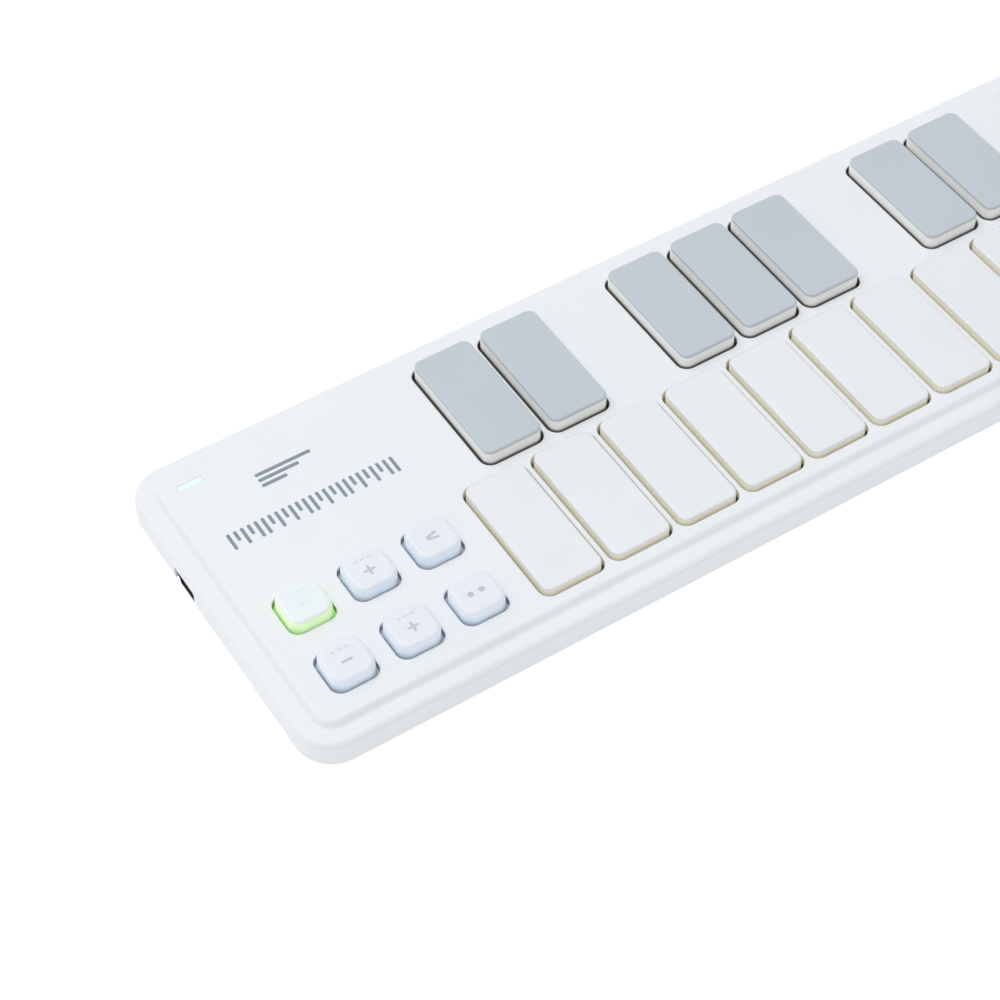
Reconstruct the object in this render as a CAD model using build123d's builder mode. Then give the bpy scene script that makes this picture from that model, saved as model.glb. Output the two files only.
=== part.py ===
from build123d import *
import os

# A slim USB music keyboard: fifteen white keys in a front row, ten black keys in a rear row, and six
# square buttons at the front left. Units are millimetres. X runs along the case to the right, Y to the
# rear and Z up. The origin is on the surface that the feet stand on, under the middle of the case.

# ---- Driving dimensions ---------------------------------------------------------------------------

# Keys, seen from above
white_count = 15
black_places = (0, 1, 3, 4, 5, 7, 8, 10, 11, 12)  # white key to the left of each black key
spare_places = (2, 6, 9)  # white keys with no black key on their right, used for cross members
key_pitch = 16.6
key_web = 1.15  # panel between two windows of one row
row_web = 2.25  # panel between the two rows
white_window_depth = 33.5
black_window_depth = 32.3
window_corner_radius = 2.7
window_edge_radius = 0.25
key_gap = 0.6  # all round a key, in its window
white_rise = 1.3  # key top above the panel
black_rise = 3.2
key_draft = 1.0  # degrees
key_edge_radius = 0.5
key_wall = 1.2
key_top_thickness = 1.5
key_skirt_depth = 1.6  # key side below the panel's underside

# Buttons
button_columns = 3
button_rows = 2
button_pitch_x = 15.0
button_pitch_y = 17.0
button_window = 10.9
button_window_radius = 2.5
button_corner_radius = 2.9
button_gap = 0.3
button_rise = 2.6
button_narrowing = 0.2  # on each side, from its bottom to its top
button_edge_radius = 1.0
button_wall = 1.2
button_top_thickness = 1.5
button_flange = 0.8  # how far the flange reaches beyond the button's side
button_flange_thickness = 1.2
button_flange_gap = 0.1
button_skirt_depth = 1.8

# Margins from the windows to the outside of the case
button_left_margin = 10.6
button_front_margin = 10.0
button_to_key_margin = 6.0
key_right_margin = 18.5
key_front_margin = 7.85
key_rear_margin = 7.1

# Case
foot_stand = 1.0  # gap between the base and the surface
base_height = 4.75
base_taper = 29.0  # degrees, the base narrows towards the bottom
base_overhang = 0.8  # how far the wall stands out over the base
base_floor = 1.6
base_side = 3.8  # thickness of the base's side at the parting line
base_edge_radius = 1.0
lip_thickness = 1.2
lip_height = 1.4
lip_gap = 0.15
wall = 2.0
corner_radius = 8.5
wall_edge_radius = 1.5
ledge_width = 4.1  # from the wall to the foot of the step
step_height = 1.2
step_slope = 45.0  # degrees from upright
step_radius = 1.2
panel_corner_radius = 4.6
panel_thickness = 2.0
panel_side = 4.4  # from the wall to the recess under the panel

# Hinges: a key turns on a rod behind its window
rod_radius = 0.6
rod_running_gap = 0.05
rod_seat_gap = 0.02
knuckle_wall = 0.65
knuckle_to_panel = 0.3
knuckle_width = 9.0
knuckle_side_gap = 0.4
heel_reach = 1.2
heel_gap = 0.05
heel_drop = 0.3  # heel's bearing face below the knuckle
hinge_block = 3.0
frame_side_gap = 0.35
frame_thickness = 1.5
frame_clearance = 0.15  # above the dome strips
cross_width = 10.0

# Circuit board and what stands on it
board_thickness = 1.6
board_to_floor = 0.9
board_gap = 0.4  # to the base's side
mat_thickness = 0.8
dome_height = 2.9  # above the board
dome_base_radius = 3.4
dome_top_radius = 2.2
dome_wall = 0.7
dome_to_plunger = 0.05
mat_reach = 6.0  # dome strip on each side of its row of domes
white_dome_from_hinge = 20.0
black_dome_from_hinge = 17.0
plunger_radius = 1.5
contact_radius = 1.4
contact_thickness = 0.1

# Screws
screw_radius = 1.0
screw_seat_gap = 0.02
screw_hole_radius = 1.15
screw_head_radius = 1.9
pan_head_height = 1.1
sunk_head_height = 0.9
head_clearance = 0.2
boss_radius = 2.2
boss_clearance = 0.4
pad_radius = 3.1
pad_height = 1.0
case_screw_inset = 7.4
case_screw_length = 6.0
frame_screw_length = 4.2
board_screw_length = 3.6
usb_to_screw = 6.65  # from the USB socket's side to the left rear case screw
row_screw_back = 6.0  # case screws between the black keys, from their windows' rear

# Feet
foot_radius = 4.5
foot_recess = 0.5
foot_inset_x = 20.0
foot_inset_y = 14.0

# USB socket, mini B
usb_from_front = 54.5
usb_width = 7.7
usb_height = 3.9
usb_length = 9.2
usb_shell = 0.35
usb_recess = 0.35  # mouth of the socket behind the wall's face
usb_clearance = 0.45
usb_slot_above = 0.3
usb_back = 2.6
usb_tongue_width = 4.4
usb_tongue_height = 1.1
usb_tongue_back = 0.8
usb_insert_gap = 0.03
usb_contact_pitch = 0.8
usb_contact_width = 0.4
usb_contact_height = 0.12

# Power light
light_length = 5.7
light_width = 1.7
light_corner_radius = 0.3
light_left_margin = 9.2
light_rear_margin = 8.4
light_gap = 0.05
light_flange = 1.0
light_flange_thickness = 0.8
light_chip = (3.2, 1.6, 1.1)
button_chip = (1.6, 0.8, 0.6)
button_chip_back = 4.0  # from the middle of its button

# Parts on the board
chip_size = 10.0
chip_height = 1.4
chip_pins = 12
chip_pin = 0.3
chip_pin_pitch = 0.65
chip_pin_reach = 1.0
chip_from_left = 31.0
crystal_size = (11.0, 4.6, 3.5)
crystal_from_left = 48.0
parts_from_front = 58.0

# ---- Sizes and places worked out from them --------------------------------------------------------

key_left = (button_left_margin + (button_columns - 1) * button_pitch_x + button_window
            + button_to_key_margin)
case_length = key_left + white_count * key_pitch + key_right_margin
case_depth = (key_front_margin + white_window_depth + row_web + black_window_depth
              + key_rear_margin)
left = -case_length / 2
right = case_length / 2
front = -case_depth / 2
rear = case_depth / 2

base_z = foot_stand
floor_z = base_z + base_floor
parting_z = base_z + base_height

# The stack inside sets the case's height: board, dome strips, key frame, hinges, panel
board_z = floor_z + board_to_floor
board_top = board_z + board_thickness
frame_z = board_top + mat_thickness + frame_clearance
frame_top = frame_z + frame_thickness
heel_z = frame_top + heel_gap
knuckle_radius = rod_radius + rod_running_gap + knuckle_wall
rod_z = heel_z + heel_drop + knuckle_radius
panel_under = rod_z + knuckle_radius + knuckle_to_panel
panel_z = panel_under + panel_thickness
ledge_z = panel_z - step_height
ledge_under = ledge_z - wall
skirt_z = panel_under - key_skirt_depth
dome_z = board_top + dome_height
plunger_z = dome_z + dome_to_plunger

window_width = key_pitch - key_web
white_front = front + key_front_margin
white_rear = white_front + white_window_depth
black_front = white_rear + row_web
black_rear = black_front + black_window_depth
white_x = [left + key_left + i * key_pitch + window_width / 2 for i in range(white_count)]
black_x = [white_x[i] + key_pitch / 2 for i in black_places]
spare_x = [white_x[i] + key_pitch / 2 for i in spare_places]

white_rod_y = white_rear + row_web / 2
black_rod_y = black_rear + row_web / 2
frame_half = row_web / 2 + key_gap - frame_side_gap
white_dome_y = white_rod_y - white_dome_from_hinge
black_dome_y = black_rod_y - black_dome_from_hinge

button_x = [left + button_left_margin + button_window / 2 + i * button_pitch_x
            for i in range(button_columns)]
button_y = [front + button_front_margin + button_window / 2 + i * button_pitch_y
            for i in range(button_rows)]
button_places = [(x, y) for y in button_y for x in button_x]

usb_y = front + usb_from_front
light_x = left + light_left_margin + light_length / 2
light_y = rear - light_rear_margin - light_width / 2
parts_y = front + parts_from_front
chip_x = left + chip_from_left
crystal_x = left + crystal_from_left

case_screw_row = black_rear - row_screw_back
case_screw_places = [(left + case_screw_inset, front + case_screw_inset),
                     (left + case_screw_inset, usb_y + usb_width / 2 + usb_to_screw),
                     (right - case_screw_inset, front + case_screw_inset),
                     (right - case_screw_inset, rear - case_screw_inset)]
case_screw_places += [(x, case_screw_row) for x in spare_x]
member_x = [white_x[0] - key_pitch / 2] + spare_x + [white_x[-1] + key_pitch / 2]
frame_screw_y = (white_rod_y + 7.0, black_dome_y + 1.0)
frame_screw_places = [(x, y) for x in member_x for y in frame_screw_y]
board_screw_places = [(white_x[i], y) for i in (1, 7, 13)
                      for y in (white_front + 4.0, white_rod_y - 7.5)]
board_screw_places += [(x, parts_y + 9.0) for x in (chip_x, crystal_x)]
foot_places = [(x, y) for x in (left + foot_inset_x, right - foot_inset_x)
               for y in (front + foot_inset_y, rear - foot_inset_y)]

os.makedirs("parts", exist_ok=True)


def save(part, name):
    """Label a finished piece and write it to its own file."""
    part.label = name
    export_step(part, f"parts/{name}.step")


# ---- Top case: wall, ledge, raised panel with its windows, and screw bosses ------------------------

with BuildPart() as top_case:
    with BuildSketch(Plane.XY.offset(parting_z)):
        RectangleRounded(case_length, case_depth, corner_radius)
    extrude(amount=ledge_z - parting_z)
    fillet(top_case.faces().sort_by(Axis.Z)[-1].edges(), wall_edge_radius)
    with BuildSketch(Plane.XY.offset(ledge_z)):
        RectangleRounded(case_length - 2 * ledge_width, case_depth - 2 * ledge_width,
                         panel_corner_radius)
    extrude(amount=step_height, taper=step_slope)
    fillet(top_case.faces().sort_by(Axis.Z)[-1].edges(), step_radius)
    ledge = top_case.faces().filter_by(Axis.Z).group_by(Axis.Z)[-2][0]
    fillet(ledge.inner_wires()[0].edges(), step_radius)
    # Inside, under the ledge and then under the panel
    with BuildSketch(Plane.XY.offset(parting_z)):
        RectangleRounded(case_length - 2 * wall, case_depth - 2 * wall, corner_radius - wall)
    extrude(amount=ledge_under - parting_z, mode=Mode.SUBTRACT)
    with BuildSketch(Plane.XY.offset(ledge_under)):
        RectangleRounded(case_length - 2 * panel_side, case_depth - 2 * panel_side,
                         corner_radius - panel_side)
    extrude(amount=panel_under - ledge_under, mode=Mode.SUBTRACT)
    # Windows of the keys, the buttons and the power light
    with BuildSketch(Plane.XY.offset(panel_under)):
        with Locations(*[(x, white_front + white_window_depth / 2) for x in white_x]):
            RectangleRounded(window_width, white_window_depth, window_corner_radius)
        with Locations(*[(x, black_front + black_window_depth / 2) for x in black_x]):
            RectangleRounded(window_width, black_window_depth, window_corner_radius)
        with Locations(*button_places):
            RectangleRounded(button_window, button_window, button_window_radius)
    extrude(amount=panel_thickness, mode=Mode.SUBTRACT)
    panel = top_case.faces().filter_by(Axis.Z).sort_by(Axis.Z)[-1]
    fillet([edge for wire in panel.inner_wires() for edge in wire.edges()], window_edge_radius)
    with BuildSketch(Plane.XY.offset(panel_under)):
        with Locations((light_x, light_y)):
            RectangleRounded(light_length, light_width, light_corner_radius)
    extrude(amount=panel_thickness, mode=Mode.SUBTRACT)
    # Slot for the plug, open at the parting line
    with BuildSketch(Plane.YZ.offset(left)):
        with Locations((usb_y, board_top + usb_slot_above)):
            RectangleRounded(usb_width + 2 * usb_clearance, 2 * usb_height, 0.8)
    extrude(amount=wall, mode=Mode.SUBTRACT)
    # Bosses for the base's screws and the key frame's screws
    with BuildSketch(Plane.XY.offset(floor_z + pad_height)):
        with Locations(*case_screw_places):
            Circle(boss_radius)
    extrude(amount=panel_under - floor_z - pad_height)
    with BuildSketch(Plane.XY.offset(frame_top)):
        with Locations(*frame_screw_places):
            Circle(boss_radius)
    extrude(amount=panel_under - frame_top)
    with BuildSketch(Plane.XY.offset(floor_z + pad_height)):
        with Locations(*case_screw_places):
            Circle(screw_radius + screw_seat_gap)
    extrude(amount=case_screw_length, mode=Mode.SUBTRACT)
    with BuildSketch(Plane.XY.offset(frame_top)):
        with Locations(*frame_screw_places):
            Circle(screw_radius + screw_seat_gap)
    extrude(amount=frame_screw_length - frame_thickness + 0.5, mode=Mode.SUBTRACT)
save(top_case.part, "top_case")

# ---- Bottom case: tapered tray with a lip, screw pads, standoffs and foot recesses -----------------

with BuildPart() as bottom_case:
    with BuildSketch(Plane.XY.offset(parting_z)):
        RectangleRounded(case_length - 2 * base_overhang, case_depth - 2 * base_overhang,
                         corner_radius - base_overhang)
    extrude(amount=-base_height, taper=base_taper)
    fillet(bottom_case.faces().sort_by(Axis.Z)[0].edges(), base_edge_radius)
    base_inside = base_overhang + base_side
    with BuildSketch(Plane.XY.offset(floor_z)):
        RectangleRounded(case_length - 2 * base_inside, case_depth - 2 * base_inside,
                         corner_radius - base_inside)
    extrude(amount=parting_z - floor_z, mode=Mode.SUBTRACT)
    # Lip that stands inside the top case's wall
    lip_outside = wall + lip_gap
    lip_inside = lip_outside + lip_thickness
    with BuildSketch(Plane.XY.offset(parting_z)):
        RectangleRounded(case_length - 2 * lip_outside, case_depth - 2 * lip_outside,
                         corner_radius - lip_outside)
        RectangleRounded(case_length - 2 * lip_inside, case_depth - 2 * lip_inside,
                         corner_radius - lip_inside, mode=Mode.SUBTRACT)
    extrude(amount=lip_height)
    # Room for the USB socket and the board's tab
    with BuildSketch(Plane.XY.offset(board_z - board_gap)):
        with Locations((left + lip_inside + base_inside / 2, usb_y)):
            Rectangle(base_inside, usb_width + 4 + 2 * board_gap)
    extrude(amount=parting_z + lip_height - board_z + board_gap, mode=Mode.SUBTRACT)
    with BuildSketch(Plane.XY.offset(board_top - usb_slot_above)):
        with Locations((left + base_inside / 2, usb_y)):
            Rectangle(base_inside, usb_width + 2 * usb_clearance)
    extrude(amount=parting_z + lip_height - board_top + usb_slot_above, mode=Mode.SUBTRACT)
    # Screw pads and board standoffs
    with BuildSketch(Plane.XY.offset(floor_z)):
        with Locations(*case_screw_places):
            Circle(pad_radius)
    extrude(amount=pad_height)
    with BuildSketch(Plane.XY.offset(floor_z)):
        with Locations(*board_screw_places):
            Circle(boss_radius)
    extrude(amount=board_to_floor)
    with BuildSketch(Plane.XY.offset(board_top - board_screw_length)):
        with Locations(*board_screw_places):
            Circle(screw_radius + screw_seat_gap)
    extrude(amount=board_screw_length, mode=Mode.SUBTRACT)
    with BuildSketch(Plane.XY.offset(base_z)):
        with Locations(*case_screw_places):
            Circle(screw_hole_radius)
    extrude(amount=base_floor + pad_height, mode=Mode.SUBTRACT)
    with BuildSketch(Plane.XY.offset(base_z)):
        with Locations(*case_screw_places):
            Circle(screw_head_radius + head_clearance)
    extrude(amount=pan_head_height + head_clearance, mode=Mode.SUBTRACT)
    with BuildSketch(Plane.XY.offset(base_z)):
        with Locations(*foot_places):
            Circle(foot_radius)
    extrude(amount=foot_recess, mode=Mode.SUBTRACT)
save(bottom_case.part, "bottom_case")

with BuildPart() as rubber_feet:
    with BuildSketch(Plane.XY):
        with Locations(*foot_places):
            Circle(foot_radius)
    extrude(amount=foot_stand + foot_recess)
    fillet(rubber_feet.faces().group_by(Axis.Z)[0].edges(), 0.3)
save(rubber_feet.part, "rubber_feet")

# ---- Keys ------------------------------------------------------------------------------------------


def make_key(name, x, window_front, window_depth, rise, rod_y, dome_y):
    """A hollow cap with a plunger, and a knuckle behind it that turns on the rod."""
    top = panel_z + rise
    width = window_width - 2 * key_gap
    depth = window_depth - 2 * key_gap
    y = window_front + window_depth / 2
    cap_rear = y + depth / 2
    cap_radius = window_corner_radius - key_gap
    with BuildPart() as key:
        with BuildSketch(Plane.XY.offset(skirt_z)):
            with Locations((x, y)):
                RectangleRounded(width, depth, cap_radius)
        extrude(amount=top - skirt_z, taper=key_draft)
        fillet(key.faces().sort_by(Axis.Z)[-1].edges(), key_edge_radius)
        with BuildSketch(Plane.XY.offset(skirt_z)):
            with Locations((x, y)):
                RectangleRounded(width - 2 * key_wall, depth - 2 * key_wall, cap_radius - key_wall)
        extrude(amount=top - key_top_thickness - skirt_z, taper=key_draft, mode=Mode.SUBTRACT)
        with BuildSketch(Plane.XY.offset(plunger_z)):
            with Locations((x, dome_y)):
                Circle(plunger_radius)
        extrude(amount=top - key_top_thickness / 2 - plunger_z)
        # Hinge: a block behind the rear wall, the knuckle, and the heel that stops the key's return
        with BuildSketch(Plane.YZ.offset(x - knuckle_width / 2)):
            with Locations((cap_rear - hinge_block / 2, (rod_z - 1 + top - key_top_thickness / 2) / 2)):
                Rectangle(hinge_block - key_wall / 2, top - key_top_thickness / 2 - rod_z + 1)
            with BuildLine():
                Polyline((cap_rear - hinge_block / 2, rod_z - 1), (rod_y, rod_z - 1),
                         (rod_y, rod_z + 1), (cap_rear - hinge_block / 2, rod_z + 1), close=True)
            make_face()
            with Locations((rod_y, rod_z)):
                Circle(knuckle_radius)
            with BuildLine():
                Polyline((rod_y, heel_z), (rod_y + heel_reach, heel_z), (rod_y + heel_reach, rod_z),
                         (rod_y, rod_z), close=True)
            make_face()
        extrude(amount=knuckle_width)
        with BuildSketch(Plane.YZ.offset(x - knuckle_width / 2)):
            with Locations((rod_y, rod_z)):
                Circle(rod_radius + rod_running_gap)
        extrude(amount=knuckle_width, mode=Mode.SUBTRACT)
    save(key.part, name)


for i, x in enumerate(white_x):
    make_key(f"white_key_{i + 1:02d}", x, white_front, white_window_depth, white_rise,
             white_rod_y, white_dome_y)
for i, x in enumerate(black_x):
    make_key(f"black_key_{i + 1:02d}", x, black_front, black_window_depth, black_rise,
             black_rod_y, black_dome_y)

# ---- Key frame and pivot rods ----------------------------------------------------------------------

rib_width = key_pitch - knuckle_width - 2 * knuckle_side_gap
white_rib_x = [member_x[0] + i * key_pitch for i in range(white_count + 1)]
black_rib_x = sorted({round(x + side * key_pitch / 2, 6) for x in black_x for side in (-1, 1)})
frame_left = member_x[0] - rib_width / 2
frame_right = member_x[-1] + rib_width / 2
frame_rows = ((white_rod_y, white_rib_x), (black_rod_y, black_rib_x))

with BuildPart() as key_frame:
    with BuildSketch(Plane.XY.offset(frame_z)):
        with Locations(*[((frame_left + frame_right) / 2, rod_y) for rod_y, ribs in frame_rows]):
            Rectangle(frame_right - frame_left, 2 * frame_half)
        with Locations(*[(x, (white_rod_y + black_rod_y) / 2) for x in spare_x]):
            Rectangle(cross_width, black_rod_y - white_rod_y + 2 * frame_half)
        with Locations(*[(x, (white_rod_y + black_rod_y) / 2) for x in (member_x[0], member_x[-1])]):
            Rectangle(rib_width, black_rod_y - white_rod_y + 2 * frame_half)
        with Locations(*[(x, case_screw_row) for x in spare_x]):
            Circle(boss_radius + boss_clearance, mode=Mode.SUBTRACT)
    extrude(amount=frame_thickness)
    with BuildSketch(Plane.XY.offset(frame_top)):
        for rod_y, ribs in frame_rows:
            with Locations(*[(x, rod_y) for x in ribs]):
                Rectangle(rib_width, 2 * frame_half)
    extrude(amount=panel_under - frame_top)
    with BuildSketch(Plane.YZ.offset(frame_left)):
        with Locations(*[(rod_y, rod_z) for rod_y, ribs in frame_rows]):
            Circle(rod_radius + rod_seat_gap)
    extrude(amount=frame_right - frame_left, mode=Mode.SUBTRACT)
    with Locations(*[(x, y, frame_z) for x, y in frame_screw_places]):
        with Locations(Rotation(180, 0, 0)):
            CounterSinkHole(screw_radius + screw_seat_gap, screw_head_radius, frame_thickness)
save(key_frame.part, "key_frame")

for name, rod_y, ribs in (("white_key_pivot_rod", white_rod_y, white_rib_x),
                          ("black_key_pivot_rod", black_rod_y, black_rib_x)):
    with BuildPart() as rod:
        with BuildSketch(Plane.YZ.offset(ribs[0] - rib_width / 2)):
            with Locations((rod_y, rod_z)):
                Circle(rod_radius)
        extrude(amount=ribs[-1] - ribs[0] + rib_width)
    save(rod.part, name)

# ---- Buttons ---------------------------------------------------------------------------------------

for number, (x, y) in enumerate(button_places):
    top = panel_z + button_rise
    width = button_window - 2 * button_gap
    radius = button_corner_radius
    button_bottom = panel_under - button_skirt_depth
    with BuildPart() as button:
        for height, side in ((button_bottom, width), (top, width - 2 * button_narrowing)):
            with BuildSketch(Plane.XY.offset(height)):
                with Locations((x, y)):
                    RectangleRounded(side, side, radius)
        loft()
        fillet(button.faces().sort_by(Axis.Z)[-1].edges(), button_edge_radius)
        with BuildSketch(Plane.XY.offset(panel_under - button_flange_gap)):
            with Locations((x, y)):
                RectangleRounded(width + 2 * button_flange, width + 2 * button_flange, radius)
        extrude(amount=-button_flange_thickness)
        with BuildSketch(Plane.XY.offset(button_bottom)):
            with Locations((x, y)):
                RectangleRounded(width - 2 * button_wall, width - 2 * button_wall, radius - button_wall)
        extrude(amount=top - button_top_thickness - button_bottom, mode=Mode.SUBTRACT)
        with BuildSketch(Plane.XY.offset(plunger_z)):
            with Locations((x, y)):
                Circle(plunger_radius)
        extrude(amount=top - button_top_thickness / 2 - plunger_z)
    save(button.part, f"button_{number + 1}")

# ---- Circuit board, rubber dome mats and contacts ---------------------------------------------------

board_inset = base_inside + board_gap
tab_left = left + lip_inside + board_gap

with BuildPart() as main_circuit_board:
    with BuildSketch(Plane.XY.offset(board_z)):
        RectangleRounded(case_length - 2 * board_inset, case_depth - 2 * board_inset,
                         corner_radius - board_inset)
        with Locations(((tab_left + left + board_inset + 2) / 2, usb_y)):
            Rectangle(left + board_inset + 2 - tab_left, usb_width + 4)
        with Locations(*case_screw_places):
            Circle(pad_radius + boss_clearance, mode=Mode.SUBTRACT)
        with Locations(*board_screw_places):
            Circle(screw_hole_radius, mode=Mode.SUBTRACT)
    extrude(amount=board_thickness)
save(main_circuit_board.part, "main_circuit_board")


def make_domes(name, places, mat_center, mat_size, cutouts):
    """A rubber mat with one hollow dome at each place."""
    with BuildPart() as domes:
        with BuildSketch(Plane.XY.offset(board_top)):
            with Locations(mat_center):
                RectangleRounded(*mat_size, 1.5)
            for center, size in cutouts:
                with Locations(center):
                    Rectangle(*size, mode=Mode.SUBTRACT)
        extrude(amount=mat_thickness)
        outside_height = dome_height - mat_thickness
        with Locations(*[(x, y, board_top + mat_thickness) for x, y in places]):
            Cone(dome_base_radius, dome_top_radius, outside_height,
                 align=(Align.CENTER, Align.CENTER, Align.MIN))
        with Locations(*[(x, y, board_top) for x, y in places]):
            Cone(dome_base_radius - dome_wall, dome_top_radius - dome_wall, dome_height - dome_wall,
                 align=(Align.CENTER, Align.CENTER, Align.MIN), mode=Mode.SUBTRACT)
    save(domes.part, name)


white_domes = [(x, white_dome_y) for x in white_x]
black_domes = [(x, black_dome_y) for x in black_x]
for name, places in (("white_key_dome_strip", white_domes), ("black_key_dome_strip", black_domes)):
    first_x, row_y = places[0]
    last_x = places[-1][0]
    make_domes(name, places, ((first_x + last_x) / 2, row_y),
               (last_x - first_x + 2 * mat_reach, 2 * mat_reach), [])

button_cutouts = [((x, y + button_chip_back), (button_chip[0] + 0.8, button_chip[1] + 0.6))
                  for x, y in button_places]
button_mat_edge = button_window / 2 + 0.7
make_domes("button_dome_pad", button_places,
           ((button_x[0] + button_x[-1]) / 2, (button_y[0] + button_y[-1]) / 2),
           (button_x[-1] - button_x[0] + 2 * button_mat_edge,
            button_y[-1] - button_y[0] + 2 * button_mat_edge), button_cutouts)

with BuildPart() as switch_contacts:
    with BuildSketch(Plane.XY.offset(board_top)):
        with Locations(*(white_domes + black_domes + button_places)):
            Circle(contact_radius)
            Rectangle(3 * contact_radius, contact_radius / 4, mode=Mode.SUBTRACT)
    extrude(amount=contact_thickness)
save(switch_contacts.part, "switch_contacts")

# ---- Parts on the board -----------------------------------------------------------------------------

with BuildPart() as microcontroller_chip:
    with BuildSketch(Plane.XY.offset(board_top + 0.1)):
        with Locations((chip_x, parts_y)):
            Rectangle(chip_size, chip_size)
    extrude(amount=chip_height)
    chamfer(microcontroller_chip.faces().sort_by(Axis.Z)[-1].edges(), 0.25)
    with BuildSketch(Plane.XY.offset(board_top)):
        with Locations((chip_x, parts_y)):
            with GridLocations(chip_pin_pitch, chip_size + chip_pin_reach, chip_pins, 2):
                Rectangle(chip_pin, chip_pin_reach + 0.4)
            with GridLocations(chip_size + chip_pin_reach, chip_pin_pitch, 2, chip_pins):
                Rectangle(chip_pin_reach + 0.4, chip_pin)
    extrude(amount=0.3)
save(microcontroller_chip.part, "microcontroller_chip")

with BuildPart() as clock_crystal:
    with BuildSketch(Plane.XY.offset(board_top)):
        with Locations((crystal_x, parts_y)):
            RectangleRounded(crystal_size[0], crystal_size[1], crystal_size[1] / 2 - 0.1)
    extrude(amount=crystal_size[2])
    fillet(clock_crystal.faces().sort_by(Axis.Z)[-1].edges(), 0.5)
save(clock_crystal.part, "clock_crystal")

with BuildPart() as button_lights:
    with BuildSketch(Plane.XY.offset(board_top)):
        with Locations(*[(x, y + button_chip_back) for x, y in button_places]):
            Rectangle(button_chip[0], button_chip[1])
    extrude(amount=button_chip[2])
save(button_lights.part, "button_lights")

with BuildPart() as power_light:
    with BuildSketch(Plane.XY.offset(board_top)):
        with Locations((light_x, light_y)):
            Rectangle(light_chip[0], light_chip[1])
    extrude(amount=light_chip[2])
save(power_light.part, "power_light")

with BuildPart() as power_light_lens:
    lens_bottom = board_top + light_chip[2] + 0.2
    with BuildSketch(Plane.XY.offset(lens_bottom)):
        with Locations((light_x, light_y)):
            RectangleRounded(light_length - 2 * light_gap, light_width - 2 * light_gap,
                             light_corner_radius - light_gap)
    extrude(amount=panel_z - lens_bottom)
    fillet(power_light_lens.faces().sort_by(Axis.Z)[-1].edges(), 0.15)
    with BuildSketch(Plane.XY.offset(panel_under)):
        with Locations((light_x, light_y)):
            RectangleRounded(light_length + 2 * light_flange, light_width + 2 * light_flange, 0.5)
    extrude(amount=-light_flange_thickness)
save(power_light_lens.part, "power_light_lens")

# ---- USB socket -------------------------------------------------------------------------------------


def socket_outline(inset):
    """The socket's section: wide above, with its lower corners cut in."""
    half = usb_width / 2 - inset
    lower = half - 0.8
    top = usb_height - inset
    middle = usb_height * 0.5
    with BuildLine() as outline:
        Polyline((-half, top), (half, top), (half, middle), (lower, middle - 0.8), (lower, inset),
                 (-lower, inset), (-lower, middle - 0.8), (-half, middle), close=True)
    make_face(outline.edges())


socket_plane = Plane(origin=(left + usb_recess, usb_y, board_top), x_dir=(0, 1, 0), z_dir=(1, 0, 0))
socket_back = socket_plane.offset(usb_length - usb_back)
with BuildPart() as usb_socket_shell:
    with BuildSketch(socket_plane):
        socket_outline(0)
    extrude(amount=usb_length)
    with BuildSketch(socket_plane):
        socket_outline(usb_shell)
    extrude(amount=usb_length, mode=Mode.SUBTRACT)
save(usb_socket_shell.part, "usb_socket_shell")

tongue_height = usb_height * 0.62
with BuildPart() as usb_socket_insert:
    with BuildSketch(socket_back):
        socket_outline(usb_shell + usb_insert_gap)
    extrude(amount=usb_back)
    with BuildSketch(socket_plane.offset(usb_tongue_back)):
        with Locations((0, tongue_height)):
            Rectangle(usb_tongue_width, usb_tongue_height)
    extrude(amount=usb_length - usb_back - usb_tongue_back)
save(usb_socket_insert.part, "usb_socket_insert")

with BuildPart() as usb_socket_contacts:
    contact_y = tongue_height - usb_tongue_height / 2 - usb_contact_height / 2
    with BuildSketch(socket_plane.offset(usb_tongue_back + 0.4)):
        with Locations((0, contact_y)):
            with GridLocations(usb_contact_pitch, 0, 5, 1):
                Rectangle(usb_contact_width, usb_contact_height)
    extrude(amount=usb_length - usb_back - usb_tongue_back - 0.4)
save(usb_socket_contacts.part, "usb_socket_contacts")

# ---- Screws -----------------------------------------------------------------------------------------


def cross_slot(plane, places, depth):
    """Cross-shaped driver slots in the screw heads on one plane."""
    with BuildSketch(plane) as slots:
        with Locations(*places):
            Rectangle(2.0, 0.5)
            Rectangle(0.5, 2.0)
    extrude(slots.sketch, amount=depth, mode=Mode.SUBTRACT)


with BuildPart() as case_screws:
    head_z = base_z + head_clearance
    with BuildSketch(Plane.XY.offset(head_z)):
        with Locations(*case_screw_places):
            Circle(screw_head_radius)
    extrude(amount=pan_head_height)
    fillet(case_screws.faces().group_by(Axis.Z)[0].edges(), 0.4)
    with BuildSketch(Plane.XY.offset(head_z + pan_head_height)):
        with Locations(*case_screw_places):
            Circle(screw_radius)
    extrude(amount=case_screw_length)
    cross_slot(Plane.XY.offset(head_z), case_screw_places, 0.6)
save(case_screws.part, "case_screws")

with BuildPart() as board_screws:
    with BuildSketch(Plane.XY.offset(board_top)):
        with Locations(*board_screw_places):
            Circle(screw_head_radius)
    extrude(amount=pan_head_height)
    fillet(board_screws.faces().sort_by(Axis.Z)[-len(board_screw_places):].edges(), 0.4)
    with BuildSketch(Plane.XY.offset(board_top)):
        with Locations(*board_screw_places):
            Circle(screw_radius)
    extrude(amount=-board_screw_length)
    cross_slot(Plane.XY.offset(board_top + pan_head_height), board_screw_places, -0.6)
save(board_screws.part, "board_screws")

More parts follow.
